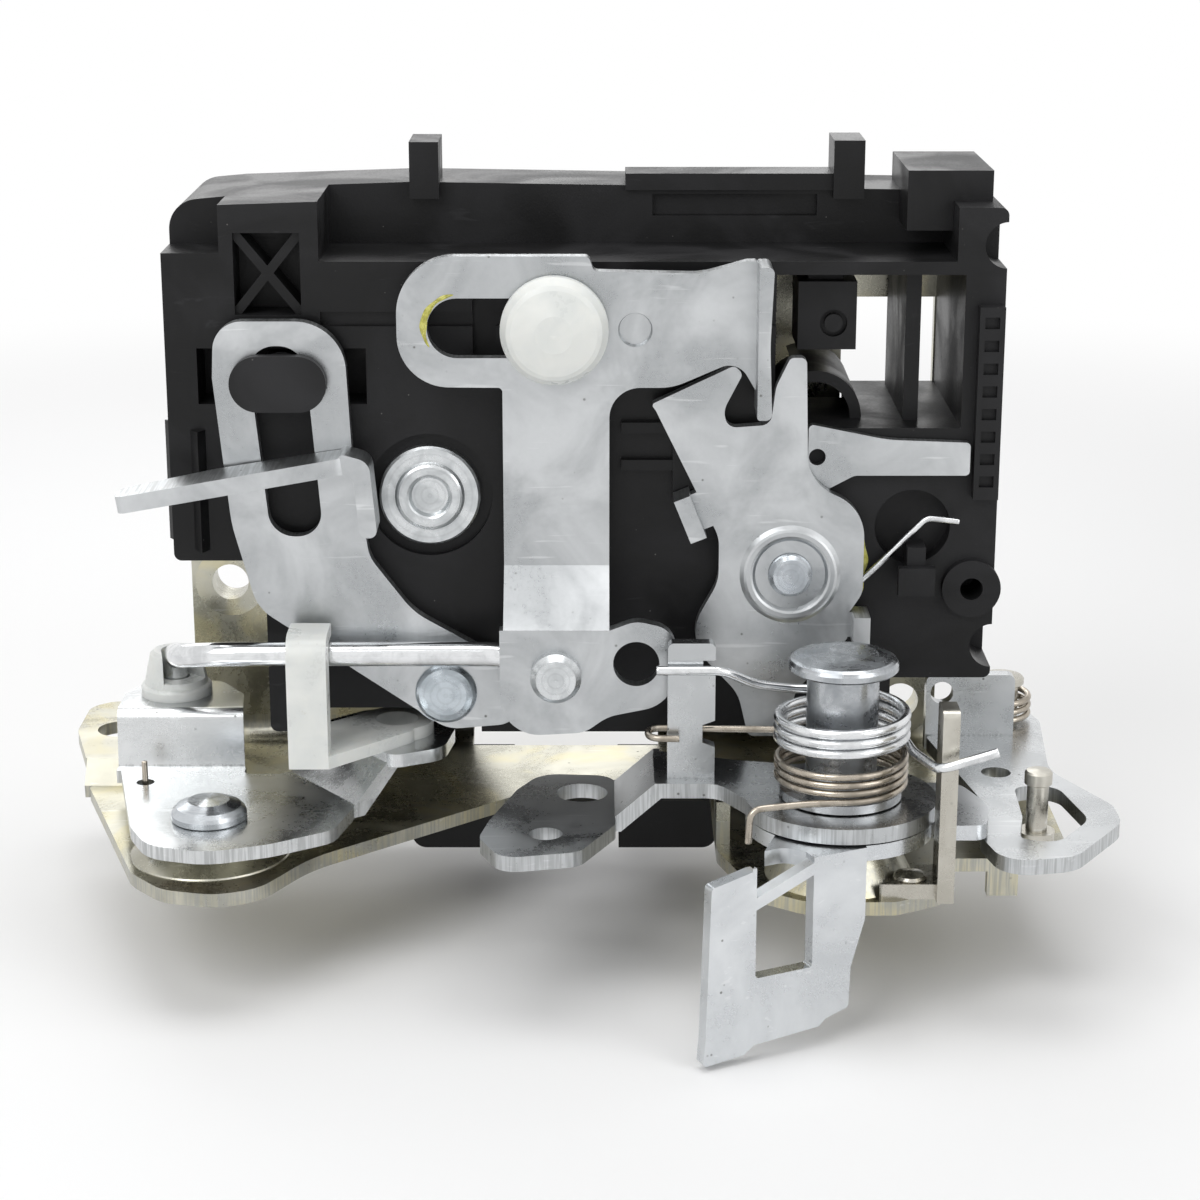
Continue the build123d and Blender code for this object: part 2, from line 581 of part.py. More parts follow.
def link_rod():
    path = [(bush_x, bush_y, platform_top - 1.6), (bush_x, bush_y, 19.9),
            (-50.6, -36.9, 25.3), (-45.4, rod_y, rod_z), (-8.4, rod_y, rod_z), (foot_x, rod_y, foot_z),
            (foot_x, -45.7, foot_z)]
    return wire(rounded_line(path, 2.4, 5), rod_r, 16)


def rod_clip():
    z = crank_low + 7.9
    top = z + clip_t
    ring = rod_zdir(-22.6, -30, 5.0, z, top)
    plug = turned_z(-22.6, -30, [(0, z + 0.2), (2.25, z + 0.2), (2.25, z - 1.9), (2.9, z - 2.1),
                                 (1.6, z - 4.2, 0.5), (0, z - 4.2)])
    arm = flat([(-35.6, -45.6), (-30.4, -45.6), (-19, -34, 3), (-25, -25.6, 3),
                (-32, -32)], z, top)
    block = side([(-45.6, z), (-45.6, 30.2, 3), (-37.4, 30.2, 1), (-37.4, 28.4), (-41.7, 28.4),
                  (-41.7, z)], -35.6, -30.4)
    body = ring + plug + arm + block
    dish = Pos(-22.6, -30, top + 0.9) * Sphere(3.0)
    return body - dish


def main_pin():
    profile = [(0, 0), (main_r, 0), (main_r, 29.2), (main_head_r, 29.2, 0.4),
               (main_head_r, 30.4, 0.5), (5.6, 31.2, 2), (0, 31.3)]
    return turned_z(main_x, main_y, profile)


def spring_washer():
    ring = rod_zdir(main_x, main_y, 7.8, washer_low, washer_top)
    return ring - rod_zdir(main_x, main_y, main_r + fit_gap, 0, 20)


def upper_spring():
    turns = coil_points(main_x, main_y, 19.6, 8.1, 3.25, 1.3, 0)
    right = rounded_line([(53.6, -67.2, 22.6), (46.4, -67.2, 20.3), (44.2, -59, 19.7)], 1.4)
    left = rounded_line([(30.0, -46.5, 23.9), (25.0, -47.4, 24.8), (20.8, -49.4, 27.3),
                         (12.2, -49.4, 27.3)], 1.4)
    return wire(right + turns + left, 0.6)


def lower_spring():
    turns = coil_points(main_x, main_y, 14.3, 8.1, 3.5, 1.1, -90)
    down = rounded_line([(23.4, -64.4, 9.6), (23.6, -63.9, 13.9), (30.5, -62.8, 14.2)], 1.4)
    hook = rounded_line([(28, -45.95, 18.15), (11.2, -45.5, 18.2), (11.2, -49.6, 18.2),
                         (15.2, -49.7, 18.2)], 1.7)
    return wire(down + turns + hook, 0.45)


def release_lever():
    z0 = release_low
    z1 = z0 + lever_t
    body = rod_zdir(main_x, main_y, 12.3, z0, z1)
    body += flat([(12, -37.6, 1), (23, -41.4, 6), (31, -43.1), (30, -58), (24.6, -58),
                  (20.2, -50.4, 3), (12, -50.4, 1)], z0, z1)
    body += upright([(6.9, 5.7), (7.7, 5.7), (12.9, z0), (12.9, z1), (12.1, z1), (6.9, 7.7)],
                    -50.4, -36.9)
    body += flat([(-10.4, -57.5, 4), (-9.2, -51.2, 6), (-6, -40.2, 8), (-2.9, -34.1, 4),
                  (7, -34.9, 3), (7, -53, 2), (2.4, -62.5, 3), (-7.4, -64.6, 3)], 5.7, 7.7)
    tab = upright([(13.7, z0), (13.7, 30.6, 0.8), (19.8, 30.6, 0.8), (19.8, 28.3),
                   (18.2, 28.3), (18.2, 26.6), (19.8, 26.6), (19.8, 20.2), (18.2, 19.6),
                   (18.2, 17.2), (19.8, 16.6), (19.8, z0)], -48.4, -46.4)
    body += tab
    body -= rod_zdir(2.6, -41.4, 3.4, 0, 20)
    body -= rod_zdir(-1.9, -56.2, 2.15, 0, 20)
    return body - rod_zdir(main_x, main_y, main_r + bore_gap, 0, 20)


def paddle_lever():
    z0 = paddle_low
    z1 = z0 + lever_t
    body = rod_zdir(main_x, main_y, 12.0, z0, z1)
    body += flat([(40, -43.6), (52.1, -43.8, 3), (55, -51.9, 5), (53.8, -59.3, 2),
                  (49.7, -59.3, 1), (47.6, -58.5, 1), (38, -60)], z0, z1)
    near = paddle_gap
    far = paddle_gap + paddle_t
    plate = upright([(-25.6, -11.2, 0.5), (-25.0, 8.4, 0.6), (-19.4, z1 - 0.4), (-3.3, z1 - 0.4),
                     (-3.3, 0.5, 1), (-5.2, -5.6, 1), (-5.4, -11.0, 0.5), (-8.6, -11.9),
                     (-9.6, -12.8), (-18.8, -13.4), (-20.2, -14.4), (-25.9, -15.0, 0.5)],
                    -far, -near)
    plate -= upright([(-18.8, -4.5, 0.5), (-18.8, 20), (-10.8, 20), (-10.8, -4.5, 0.5)],
                     -far - 1, -near + 1)
    plate += upright([(-19, 4.4), (-19, 6.0), (-10.6, 9.4), (-10.6, 7.8)], -far, -near)
    roof = flat([(-19.4, -far), (-3.3, -far), (-1.5, -6), (-11, -3)], z0, z1)
    roof -= flat([(-18.8, -far - 1), (-18.8, -10.0), (-16.5, -7.6), (-12.5, -7.6, 2),
                  (-10.8, -10.0), (-10.8, -far - 1)], z0 - 1, z1 + 1)
    body += Pos(main_x, main_y, 0) * Rot(0, 0, paddle_yaw) * (plate + roof)
    return body - rod_zdir(main_x, main_y, main_r + bore_gap, 0, 20)


def stop_bracket():
    body = flat([(39.6, -63.6, 1), (49.1, -63.6), (49.1, -57, 1), (39.6, -57, 1)],
                base_t, base_t + 2)
    body -= rod_zdir(main_x, main_y, 10.0, 0, 8)
    post = side([(-65, base_t), (-65, 27, 1), (-60.0, 27, 1), (-60.0, base_t)], 47.0, 49.1)
    body += post
    body -= rod_zdir(foot_rivet_x, foot_rivet_y, 1.5 + fit_gap, 0, 6)
    return body


def bracket_rivet():
    z = base_t + 2
    return turned_z(foot_rivet_x, foot_rivet_y, [(0, 0), (1.5, 0), (1.5, z), (2.1, z, 0.2),
                                              (2.1, z + 0.5, 0.4), (0, z + 1.0)])


def stop_pin():
    profile = [(0, 0), (1.5, 0), (1.5, base_t), (2.4, base_t), (2.4, right_low - 0.4),
               (1.4, right_low - 0.4), (1.4, 11.6), (1.8, 11.6, 0.2), (1.8, 13.4, 0.4),
               (0, 13.6)]
    return turned_z(stop_x, stop_y, profile)


def right_lever():
    z0 = right_low
    z1 = z0 + lever_t
    body = flat([(50.7, -18.2, 1), (57.0, -18.2), (57.0, -8, 5), (60, -5.2, 4), (66, -5.2, 4),
                 (67.8, -12, 5), (65.9, -32.5, 10), (72.2, -45.9, 6), (72.2, -52, 6),
                 (64.4, -63.8, 5), (55.2, -65.6, 4), (53.4, -57, 6), (55.2, -44, 14)], z0, z1)
    body -= flat([(60.2, -38.8, 2), (65.9, -38.4, 3), (68.2, -51, 5), (62.8, -59.2, 3),
                  (58.2, -57.6, 1.5), (59.7, -50, 9)], z0 - 1, z1 + 1)
    flange = upright([(50.7, z0), (50.7, 16.5, 1), (63.1, 16.5, 1), (63.1, z0)],
                     -18.2, -16.2)
    flange -= rod_ydir(52.9, 13.9, 1.6, -20, -14)
    body += flange
    body -= rod_zdir(58.6, -33.3, 2.0, 0, 20)
    return body - rod_zdir(right_x, right_y, 2.4 + bore_gap, 0, 20)


def return_post():
    z = right_low + lever_t
    profile = [(0, 0), (2.4, 0), (2.4, base_t), (4.2, base_t), (4.2, right_low - run_gap),
               (2.4, right_low - run_gap), (2.4, z + 5.4), (3.2, z + 5.4, 0.2),
               (3.2, z + 6.4, 0.4), (0, z + 6.8)]
    return turned_z(right_x, right_y, profile)


def return_spring():
    z = right_low + lever_t + 0.6
    turns = coil_points(right_x, right_y, z, 3.9, 3.0, 1.2, 180)
    low = rounded_line([(right_x - 3.9, right_y + 7.8, base_t + 0.3),
                        (right_x - 3.9, right_y + 7.8, z), (right_x - 3.9, right_y + 1, z)], 1.2)
    high = rounded_line([(right_x - 3.9, right_y - 1.0, z + 3.6),
                         (right_x - 4.4, right_y - 3.0, z + 3.6),
                         (right_x - 6.6, right_y - 4.6, z + 3.6)], 0.7)
    return wire(low + turns + high, 0.45)


def lock_link():
    return upright([(32.2, 47.6, 1), (32.2, 55.9, 0.6), (42.6, 53.8, 20), (53.4, 53.4, 0.6),
                    (53.4, 49, 0.6), (38.3, 49, 2), (34.4, 46.9, 1)], -33.6, -32.2) \
        - rod_ydir(33.4, 51.5, 1.1, -40, -30)


def window_block():
    body = box(31, 38.7, -26.6, -16, 64.4, 73.4)
    body -= rod_ydir(35.7, 67.9, 1.8, -28, -25.6)
    body += rod_ydir(35.7, 67.9, 1.2, -26.6, -25.4)
    body += box(32.4, 37, -24.5, -16, 73.3, 74.6)
    return body


pieces = [base_plate, housing, striker_guide, claw_rivet, claw_spring, claw, pawl,
          pawl_shaft, pawl_lever, pawl_spring, guide_knob, t_lever, rod_retainer,
          slotted_lever, slotted_lever_rivet, lock_slider, crank_rivet, crank_spacer,
          crank_spring, bell_crank, rod_bushing, link_rod, rod_clip, main_pin,
          spring_washer, upper_spring, lower_spring, release_lever, paddle_lever,
          stop_bracket, bracket_rivet, stop_pin, right_lever, return_post,
          return_spring, lock_link, window_block]

for piece in pieces:
    export_step(piece(), f"parts/{piece.__name__}.step")
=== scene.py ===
import math

import bpy
import numpy as np
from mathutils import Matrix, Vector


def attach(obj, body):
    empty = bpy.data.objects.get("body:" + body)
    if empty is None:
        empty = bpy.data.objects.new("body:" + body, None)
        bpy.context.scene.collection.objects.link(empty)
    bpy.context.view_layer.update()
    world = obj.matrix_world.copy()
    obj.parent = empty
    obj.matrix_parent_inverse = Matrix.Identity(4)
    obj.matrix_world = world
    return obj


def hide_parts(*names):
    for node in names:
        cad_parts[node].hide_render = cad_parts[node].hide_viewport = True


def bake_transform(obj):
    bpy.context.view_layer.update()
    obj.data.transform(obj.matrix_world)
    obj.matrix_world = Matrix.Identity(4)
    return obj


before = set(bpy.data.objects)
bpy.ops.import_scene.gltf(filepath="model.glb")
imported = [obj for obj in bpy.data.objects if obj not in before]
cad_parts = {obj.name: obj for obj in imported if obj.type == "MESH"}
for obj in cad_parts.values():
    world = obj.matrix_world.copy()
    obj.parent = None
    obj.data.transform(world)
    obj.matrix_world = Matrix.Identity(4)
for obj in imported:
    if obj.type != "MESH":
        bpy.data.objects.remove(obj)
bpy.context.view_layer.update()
MM = 0.001

# Centres that pieces turn about, in millimetres. An axis toward the viewer has y = 0,
# and an upright one z = 0.
CLAW = (-17.4, 0, 46.0)
PAWL = (30, 0, 36.2)
LEVER_RIVET = (-15.5, 0, 19.7)
ROD_END = (-0.7, 0, 25.1)
CRANK = (-46, -47.3, 0)
PIN = (35.6, -54.4, 0)
POST = (62.3, -10.8, 0)


# ---- shader graph ------------------------------------------------------------

class Value:
    """One output socket that can be used in sums."""

    def __init__(self, graph, socket):
        self.graph = graph
        self.socket = socket

    def __add__(self, other):
        return self.graph.math("ADD", self, other)

    def __sub__(self, other):
        return self.graph.math("SUBTRACT", self, other)

    def __mul__(self, other):
        return self.graph.math("MULTIPLY", self, other)

    __radd__ = __add__
    __rmul__ = __mul__


class Graph:
    """A node tree and the means of adding to it."""

    def __init__(self, owner):
        owner.use_nodes = True
        self.tree = owner.node_tree
        self.tree.nodes.clear()

    def node(self, kind, inputs=None, **settings):
        made = self.tree.nodes.new(kind)
        for key, setting in settings.items():
            setattr(made, key, setting)
        for key, given in (inputs or {}).items():
            self.feed(made.inputs[key], given)
        return made

    def feed(self, socket, given):
        if isinstance(given, Value):
            self.tree.links.new(given.socket, socket)
        else:
            socket.default_value = given

    def value(self, made, output=0):
        return Value(self, made.outputs[output])

    def math(self, operation, a, b=0.0, c=0.0, clamp=False):
        return self.value(self.node("ShaderNodeMath", {0: a, 1: b, 2: c},
                                    operation=operation, use_clamp=clamp))

    def scaled(self, x, y, z):
        """Object coordinates in millimetres, stretched along each axis."""
        made = self.node("ShaderNodeVectorMath", {0: self.place, 1: (1e3 * x, 1e3 * y, 1e3 * z)},
                         operation="MULTIPLY")
        return self.value(made)

    def parts(self, vector):
        """The x, y and z of a vector, each by itself."""
        made = self.node("ShaderNodeSeparateXYZ", {0: vector})
        return [self.value(made, i) for i in range(3)]

    def noise(self, size, detail=3.0, rough=0.55, stretch=(1, 1, 1), warp=0.0):
        """Noise whose features are about size millimetres."""
        where = self.scaled(*[s / size for s in stretch])
        return self.value(self.node("ShaderNodeTexNoise", {
            "Vector": where, "Scale": 1.0, "Detail": detail, "Roughness": rough,
            "Distortion": warp}))

    def cells(self, size):
        """Distance to the nearest of scattered points about size millimetres apart."""
        return self.value(self.node("ShaderNodeTexVoronoi", {
            "Vector": self.scaled(1 / size, 1 / size, 1 / size), "Scale": 1.0}), "Distance")

    def ramp(self, given, low, high, to_low=0.0, to_high=1.0, smooth=True):
        """Carries given from low..high to to_low..to_high and holds it beyond both ends."""
        made = self.node("ShaderNodeMapRange", {0: given, 1: low, 2: high, 3: to_low, 4: to_high},
                         interpolation_type="SMOOTHSTEP" if smooth else "LINEAR")
        return self.value(made)

    def blend(self, amount, a, b):
        made = self.node("ShaderNodeMix", data_type="RGBA")
        self.feed(made.inputs[0], amount)
        self.feed(made.inputs[6], a)
        self.feed(made.inputs[7], b)
        return self.value(made, 2)

    def seen(self):
        """1 for what the camera sees, straight or in metal or glass, and 0 for the rest."""
        path = self.node("ShaderNodeLightPath")
        mirrored = self.value(path, "Is Glossy Ray") + self.value(path, "Is Transmission Ray")
        return self.math("ADD", self.value(path, "Is Camera Ray"), mirrored, clamp=True)

    def bump(self, height, strength, depth_mm):
        return self.value(self.node("ShaderNodeBump", {
            "Strength": strength, "Distance": depth_mm * MM, "Height": height}))


class Look(Graph):
    """A material and the Principled shader that its maps feed."""

    def __init__(self, name):
        self.material = bpy.data.materials.new(name)
        super().__init__(self.material)
        self.shader = self.node("ShaderNodeBsdfPrincipled")
        self.out = self.node("ShaderNodeOutputMaterial", {0: self.value(self.shader)})
        self.place = self.value(self.node("ShaderNodeTexCoord"), "Object")
        self.normal = self.value(self.place.socket.node, "Normal")

    def sheared(self, axis):
        """1 on the cut edges of a sheet whose flat faces look along axis, 0 on the faces."""
        along = self.node("ShaderNodeVectorMath", {0: self.normal, 1: axis},
                          operation="DOT_PRODUCT")
        lean = self.math("ABSOLUTE", self.value(along, "Value"))
        return self.ramp(lean, 0.75, 0.25, 0.0, 1.0)

    def surface(self, **given):
        """Feeds the shader and gives its material."""
        names = {"color": "Base Color", "rough": "Roughness", "metal": "Metallic",
                 "bump": "Normal"}
        for key, what in given.items():
            self.feed(self.shader.inputs[names[key]], what)
        return self.material


def rgb(r, g, b):
    return (r, g, b, 1.0)


def plated(name, light, dark, rough=(0.24, 0.40), grain=0.5, axis=None, stain=None, tool=0.0,
           below=None):
    """Zinc plated sheet: fine grained faces, soft cloudy tone, scored cut edges and dark specks.
    The edges are scored only under the height below, so that bent up faces stay smooth."""
    g = Look(name)
    cloud = g.ramp(g.noise(14.0, 4.0, 0.6, warp=0.6), 0.32, 0.70)
    fine = g.noise(0.55, 3.0, 0.7)
    speck = g.ramp(g.cells(2.6), 0.10, 0.03) * g.ramp(g.noise(9.0, 2.0), 0.48, 0.60)
    scratch = g.ramp(g.noise(0.9, 2.0, 0.5, stretch=(0.08, 1.0, 1.0), warp=0.3), 0.66, 0.74)
    color = g.blend(cloud * 0.8 + fine * 0.25, rgb(*dark), rgb(*light))
    if stain:
        patch = g.ramp(g.noise(11.0, 3.0, 0.5, warp=1.0), 0.46, 0.66)
        color = g.blend(patch * stain[3], color, rgb(*stain[:3]))
    color = g.blend(scratch * 0.25, color, rgb(0.92, 0.93, 0.94))
    roughness = g.ramp(fine * 0.6 + cloud * 0.4, 0.25, 0.75, rough[0], rough[1], False)
    height = fine * grain + g.noise(0.22, 2.0, 0.6) * 0.35 + scratch * 0.2
    if axis:
        edge = g.sheared(axis)
        if below is not None:
            height_mm = g.parts(g.scaled(1, 1, 1))[2]
            edge = edge * g.ramp(height_mm, below, below + 0.3, 1.0, 0.0)
        lines = g.noise(0.35, 2.0, 0.6, stretch=tuple(0.04 if a else 1.0 for a in axis))
        color = g.blend(edge * g.ramp(lines, 0.40, 0.62) * 0.55, color, rgb(0.30, 0.31, 0.31))
        height = height + edge * lines * 1.6
        roughness = g.math("ADD", roughness, edge * 0.06)
    if tool:
        height = height + g.noise(0.6, 1.0, 0.5, stretch=(1, 1, 0.02)) * tool
    color = g.blend(speck * 0.8, color, rgb(0.12, 0.12, 0.11))
    roughness = g.math("ADD", roughness, speck * 0.3)
    return g.surface(color=color, rough=roughness, metal=1.0, bump=g.bump(height, 0.35, 0.03))


def moulded_black(name, base=0.0075, gloss=(0.34, 0.56), grain=1.0):
    """Black glass filled plastic with spark textured skin, pale scuffs and a little dust."""
    g = Look(name)
    skin = g.noise(0.42, 3.0, 0.62)
    cloud = g.ramp(g.noise(16.0, 3.0, 0.55, warp=0.8), 0.35, 0.68)
    scuff = g.ramp(g.noise(2.2, 3.0, 0.6, stretch=(0.35, 1.0, 1.3), warp=0.7), 0.66, 0.76)
    dust = g.ramp(g.cells(1.9), 0.07, 0.02) * g.ramp(g.noise(7.0, 2.0), 0.50, 0.62)
    color = g.blend(cloud, rgb(base, base, base * 1.05), rgb(base * 2.2, base * 2.2, base * 2.35))
    color = g.blend(scuff * 0.30, color, rgb(0.045, 0.045, 0.048))
    color = g.blend(dust * 0.5, color, rgb(0.22, 0.21, 0.20))
    rough = g.ramp(skin * 0.5 + cloud * 0.5, 0.25, 0.75, gloss[0], gloss[1], False)
    rough = g.math("ADD", rough, scuff * 0.12)
    g.shader.inputs["Specular IOR Level"].default_value = 0.24
    return g.surface(color=color, rough=rough, metal=0.0,
                     bump=g.bump(skin * grain + g.noise(3.5, 2.0) * 1.2, 0.30, 0.05))


def nylon(name):
    """Natural white nylon: milky, slightly uneven, faint flow lines."""
    g = Look(name)
    cloud = g.ramp(g.noise(5.0, 3.0, 0.5, warp=0.5), 0.30, 0.70)
    fine = g.noise(0.6, 2.0, 0.5)
    soil = g.ramp(g.noise(1.6, 3.0, 0.6), 0.68, 0.80)
    color = g.blend(cloud, rgb(0.70, 0.72, 0.70), rgb(0.79, 0.80, 0.77))
    color = g.blend(soil * 0.35, color, rgb(0.52, 0.50, 0.40))
    rough = g.ramp(fine * 0.5 + cloud * 0.5, 0.25, 0.75, 0.26, 0.42, False)
    g.shader.inputs["Subsurface Weight"].default_value = 0.35
    g.shader.inputs["Subsurface Radius"].default_value = (1.0, 0.95, 0.85)
    g.shader.inputs["Subsurface Scale"].default_value = 0.0016
    return g.surface(color=color, rough=rough, metal=0.0,
                     bump=g.bump(fine + g.noise(2.4, 2.0) * 1.5, 0.15, 0.04))


def wire_metal(name, light, dark, rough=(0.16, 0.34), along=(1, 1, 1)):
    """Drawn wire: bright with fine lengthwise die lines and duller patches."""
    g = Look(name)
    die = g.noise(0.25, 2.0, 0.6, stretch=along)
    patch = g.ramp(g.noise(3.0, 3.0, 0.6, warp=0.4), 0.40, 0.68)
    color = g.blend(patch * 0.7 + die * 0.3, rgb(*light), rgb(*dark))
    roughness = g.ramp(die * 0.5 + patch * 0.5, 0.25, 0.75, rough[0], rough[1], False)
    return g.surface(color=color, rough=roughness, metal=1.0, bump=g.bump(die, 0.25, 0.012))


def turned(name, x, y, z, along, light, dark, rough=(0.22, 0.36), pitch=0.34):
    """Turned or headed metal with fine rings about an axis through x, y, z."""
    g = Look(name)
    px, py, pz = g.parts(g.scaled(1, 1, 1))
    a, b = (px - x, py - y) if along == "z" else (px - x, pz - z)
    radius = g.math("SQRT", a * a + b * b)
    rings = g.math("SINE", radius * (2 * math.pi / pitch))
    cloud = g.ramp(g.noise(3.2, 3.0, 0.6, warp=0.5), 0.35, 0.68)
    fine = g.noise(0.4, 2.0, 0.6)
    color = g.blend(cloud * 0.7 + fine * 0.3, rgb(*light), rgb(*dark))
    color = g.blend(g.ramp(rings, 0.3, 1.0) * 0.12, color, rgb(0.15, 0.15, 0.16))
    roughness = g.ramp(cloud * 0.6 + fine * 0.4, 0.25, 0.75, rough[0], rough[1], False)
    return g.surface(color=color, rough=roughness, metal=1.0,
                     bump=g.bump(rings * 0.4 + fine * 0.5, 0.22, 0.02))


def grease(name):
    """Translucent yellow green grease."""
    g = Look(name)
    lump = g.noise(1.1, 3.0, 0.6, warp=0.5)
    color = g.blend(g.ramp(lump, 0.35, 0.65), rgb(0.36, 0.34, 0.05), rgb(0.62, 0.60, 0.16))
    rough = g.ramp(lump, 0.3, 0.7, 0.10, 0.26)
    g.shader.inputs["Subsurface Weight"].default_value = 0.3
    g.shader.inputs["Subsurface Radius"].default_value = (1.0, 0.9, 0.3)
    g.shader.inputs["Subsurface Scale"].default_value = 0.001
    return g.surface(color=color, rough=rough, metal=0.0, bump=g.bump(lump, 0.5, 0.12))


ZINC_LIGHT, ZINC_DARK = (0.62, 0.635, 0.645), (0.37, 0.385, 0.395)
FACE_Y, FACE_Z = (0, 1, 0), (0, 0, 1)

looks = {
    "base_plate": plated("yellow zinc", (0.60, 0.585, 0.50), (0.34, 0.33, 0.27), (0.20, 0.38),
                         0.4, FACE_Z, (0.62, 0.55, 0.30, 0.45), below=4.9),
    "housing": moulded_black("black case"),
    "striker_guide": moulded_black("black guide", 0.006, (0.40, 0.60), 0.8),
    "window_block": moulded_black("black block", 0.010, (0.36, 0.50), 0.6),
    "lock_slider": moulded_black("black slider", 0.011, (0.42, 0.58), 0.7),
    "claw": moulded_black("overmoulded claw", 0.008, (0.30, 0.46), 0.5),
    "front zinc": plated("zinc upright sheet", ZINC_LIGHT, ZINC_DARK, (0.26, 0.42), 0.5, FACE_Y),
    "release_lever": plated("zinc release lever", ZINC_LIGHT, (0.46, 0.475, 0.485), (0.20, 0.36),
                            0.35, FACE_Z, below=12.4),
    "right_lever": plated("zinc right lever", ZINC_LIGHT, (0.50, 0.515, 0.525), (0.20, 0.36),
                          0.35, FACE_Z, below=7.7),
    "crank zinc": plated("zinc crank", (0.78, 0.79, 0.795), (0.55, 0.565, 0.57), (0.20, 0.36), 0.6,
                         FACE_Z, below=6.5),
    "paddle zinc": plated("zinc paddle", (0.74, 0.76, 0.775), (0.56, 0.58, 0.60), (0.24, 0.38),
                          0.3, None, None, 0.5),
    "nickel": plated("warm plated bracket", (0.62, 0.60, 0.54), (0.42, 0.40, 0.35), (0.22, 0.40),
                     0.5, None),
    "gold": plated("gold spacer", (0.46, 0.42, 0.26), (0.24, 0.22, 0.13), (0.24, 0.42), 0.4),
    "nylon": nylon("white nylon"),
    "bright wire": wire_metal("bright wire", (0.80, 0.81, 0.82), (0.55, 0.56, 0.57)),
    "rod": wire_metal("drawn rod", (0.82, 0.83, 0.84), (0.60, 0.61, 0.62), (0.10, 0.24),
                      (0.05, 1, 1)),
    "bronze wire": wire_metal("bronze wire", (0.50, 0.45, 0.38), (0.26, 0.23, 0.19),
                              (0.22, 0.42)),
    "claw_rivet": turned("claw rivet", *CLAW, "y", (0.70, 0.72, 0.73),
                         (0.48, 0.50, 0.51), (0.26, 0.44), 0.9),
    "pawl_shaft": turned("pawl shaft", *PAWL, "y", (0.66, 0.69, 0.72),
                         (0.42, 0.45, 0.48), (0.22, 0.40), 0.8),
    "slotted_lever_rivet": turned("lever rivet", *LEVER_RIVET, "y", (0.56, 0.61, 0.65),
                                  (0.36, 0.40, 0.43), (0.20, 0.38), 0.9),
    "rod_retainer": turned("rod retainer", *ROD_END, "y", (0.72, 0.74, 0.75),
                           (0.50, 0.52, 0.53), (0.22, 0.38), 0.8),
    "crank_rivet": turned("crank rivet", *CRANK, "z", (0.60, 0.63, 0.66),
                          (0.42, 0.44, 0.46), (0.16, 0.30), 1.2),
    "main_pin": turned("main pin", *PIN, "z", (0.52, 0.54, 0.56), (0.33, 0.35, 0.37),
                       (0.22, 0.40), 0.55),
    "spring_washer": turned("spring washer", *PIN, "z", (0.60, 0.61, 0.62),
                            (0.40, 0.41, 0.42), (0.20, 0.36), 0.8),
}
shared = {
    "front zinc": ["t_lever", "slotted_lever", "pawl_lever", "pawl", "lock_link"],
    "crank zinc": ["bell_crank"],
    "paddle zinc": ["paddle_lever"],
    "nickel": ["stop_bracket", "bracket_rivet", "stop_pin", "return_post"],
    "gold": ["crank_spacer"],
    "nylon": ["guide_knob", "rod_bushing", "rod_clip"],
    "bright wire": ["upper_spring", "pawl_spring", "claw_spring"],
    "rod": ["link_rod"],
    "bronze wire": ["lower_spring", "return_spring", "crank_spring"],
}
wearing = {node: look for look, nodes in shared.items() for node in nodes}
for node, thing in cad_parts.items():
    material = looks[wearing.get(node, node)]
    thing.data.materials.clear()
    thing.data.materials.append(material)


# ---- smooth wires and grease -------------------------------------------------------

def surface(name, grid, material, closed=False):
    """Mesh from a (rows, columns, 3) grid of points in millimetres."""
    rows, cols = grid.shape[:2]
    index = np.arange(rows * cols).reshape(rows, cols)
    if closed:
        index = np.hstack([index, index[:, :1]])
    quads = np.stack([index[:-1, :-1], index[:-1, 1:], index[1:, 1:], index[1:, :-1]], -1)
    mesh = bpy.data.meshes.new(name)
    mesh.from_pydata((grid.reshape(-1, 3) * MM).tolist(), [], quads.reshape(-1, 4).tolist())
    mesh.polygons.foreach_set("use_smooth", [True] * len(mesh.polygons))
    mesh.materials.append(material)
    thing = bpy.data.objects.new(name, mesh)
    bpy.context.scene.collection.objects.link(thing)
    return thing


def bent(points, bend, steps=10):
    """Line through points whose corners are the curves
    (1 - t)^2 A + 2 t (1 - t) corner + t^2 B, with A and B bend millimetres from the corner."""
    points = np.array(points, float)
    out = [points[0]]
    for before, at, after in zip(points, points[1:], points[2:]):
        a = at + (before - at) / np.linalg.norm(before - at) * bend
        b = at + (after - at) / np.linalg.norm(after - at) * bend
        for t in np.linspace(0, 1, steps):
            out.append(a * (1 - t) ** 2 + at * 2 * t * (1 - t) + b * t ** 2)
    return np.array(out + [points[-1]])


def coil(x, y, z, mean, turns, pitch, start):
    """Helix (x + mean cos a, y + mean sin a, z + pitch t turns), a = start + 2 pi turns t."""
    t = np.linspace(0, 1, int(turns * 72))
    a = math.radians(start) + 2 * math.pi * turns * t
    return np.stack([x + mean * np.cos(a), y + mean * np.sin(a), z + pitch * turns * t], -1)


def even(path, step):
    """The same line with points step apart."""
    reach = np.concatenate([[0], np.cumsum(np.linalg.norm(np.diff(path, axis=0), axis=1))])
    at = np.linspace(0, reach[-1], max(4, int(reach[-1] / step)))
    return np.stack([np.interp(at, reach, path[:, k]) for k in range(3)], -1)


